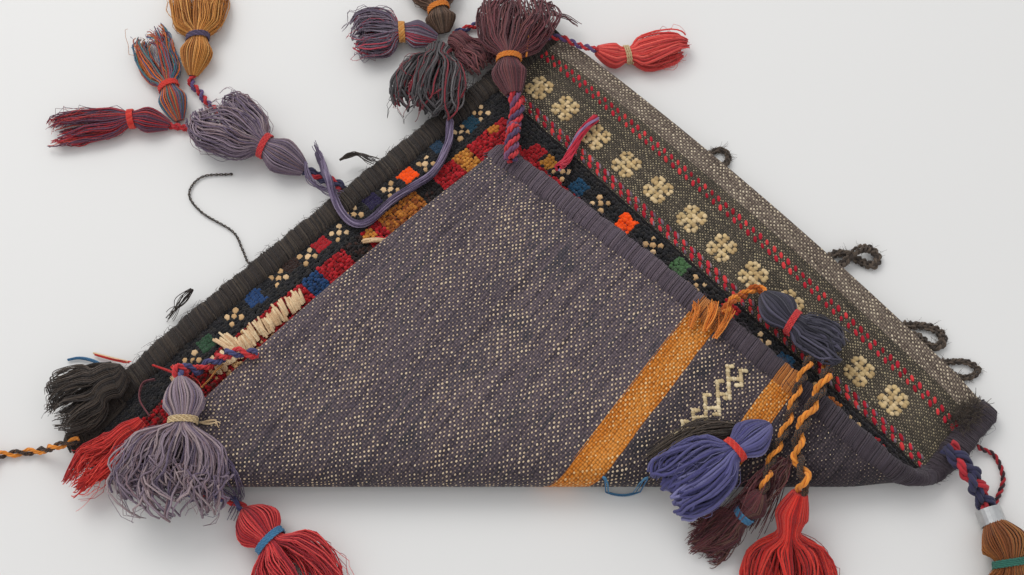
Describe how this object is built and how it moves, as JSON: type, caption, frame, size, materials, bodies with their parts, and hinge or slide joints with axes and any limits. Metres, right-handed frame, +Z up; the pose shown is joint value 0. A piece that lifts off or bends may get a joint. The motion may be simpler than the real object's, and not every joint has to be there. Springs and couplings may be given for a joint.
{
  "type": "hand-knotted wool bag",
  "caption": "Flat square hand-knotted wool bag with braided mouth loops and tassels on twisted cords, laid face up with one lower corner folded over its face.",
  "frame": {"origin": "on the floor under the middle of the bag as it lies, on the underside of its back", "axes": "+Z up from the floor; the folded edge runs along X on the -Y side; the bag's mouth faces +X and +Y"},
  "size_m": [0.6283, 0.4505, 0.043],
  "materials": {
    "purple_grey_wool": "matt wool",
    "dark_goat_hair": "coarse matt goat hair",
    "navy_wool": "matt wool",
    "plum_wool": "matt wool",
    "crimson_wool": "matt wool",
    "scarlet_wool": "matt wool",
    "mixed_wool": "matt wool",
    "ochre_wool": "matt wool",
    "charcoal_wool": "matt wool",
    "brown_wool": "matt wool",
    "orange_wool": "matt wool",
    "burgundy_wool": "matt wool",
    "cream_wool": "matt wool",
    "blue_wool": "matt wool",
    "lilac_wool": "matt wool",
    "teal_wool": "matt wool",
    "tinned_metal": "dull bare metal"
  },
  "bodies": {
    "root": {"woven_cloth": "purple_grey_wool", "side_binding_left": "dark_goat_hair", "side_binding_right": "navy_wool", "mouth_loop_1": "dark_goat_hair", "mouth_loop_2": "dark_goat_hair", "mouth_loop_3": "dark_goat_hair", "mouth_loop_4": "dark_goat_hair", "left_grey_tassel": "plum_wool", "left_grey_tie": "crimson_wool", "left_braid": "navy_wool", "left_red_tassel": "crimson_wool", "left_red_tie": "scarlet_wool", "left_red_cord": "navy_wool", "left_mixed_tassel": "mixed_wool", "left_mixed_tie": "scarlet_wool", "left_ochre_tassel": "ochre_wool", "left_ochre_tie": "plum_wool", "left_ochre_cord": "navy_wool", "left_loose_cord": "dark_goat_hair", "top_purple_tassel": "plum_wool", "top_purple_tie": "ochre_wool", "top_grey_tassel": "charcoal_wool", "top_brown_tassel": "brown_wool", "top_brown_tie": "orange_wool", "top_burgundy_tassel": "burgundy_wool", "top_cord": "crimson_wool", "apex_burgundy_tassel": "burgundy_wool", "apex_burgundy_tie": "orange_wool", "apex_braid": "navy_wool", "top_red_tassel": "scarlet_wool", "top_red_tie": "cream_wool", "top_red_cord": "navy_wool", "purple_yarn": "plum_wool", "red_yarn_strap": "scarlet_wool", "low_grey_tassel": "plum_wool", "low_grey_tie": "cream_wool", "low_grey_cord": "navy_wool", "low_red_tassel": "scarlet_wool", "low_red_tie": "blue_wool", "low_red_cord": "navy_wool", "corner_red_tassel": "crimson_wool", "corner_cord": "orange_wool", "corner_dark_fringe": "dark_goat_hair", "corner_crimson_fringe": "crimson_wool", "right_purple_tassel": "navy_wool", "right_purple_tie": "crimson_wool", "right_orange_cord": "orange_wool", "right_lilac_tassel": "lilac_wool", "right_lilac_tie": "scarlet_wool", "right_burgundy_tassel": "burgundy_wool", "right_burgundy_tie": "blue_wool", "right_cord_1": "orange_wool", "right_red_tassel": "scarlet_wool", "right_cord_2": "orange_wool", "corner_ochre_tassel": "ochre_wool", "corner_ochre_tie": "teal_wool", "corner_braid": "navy_wool", "braid_ferrule": "tinned_metal", "corner_thin_cord": "crimson_wool"}
  },
  "joints": []
}
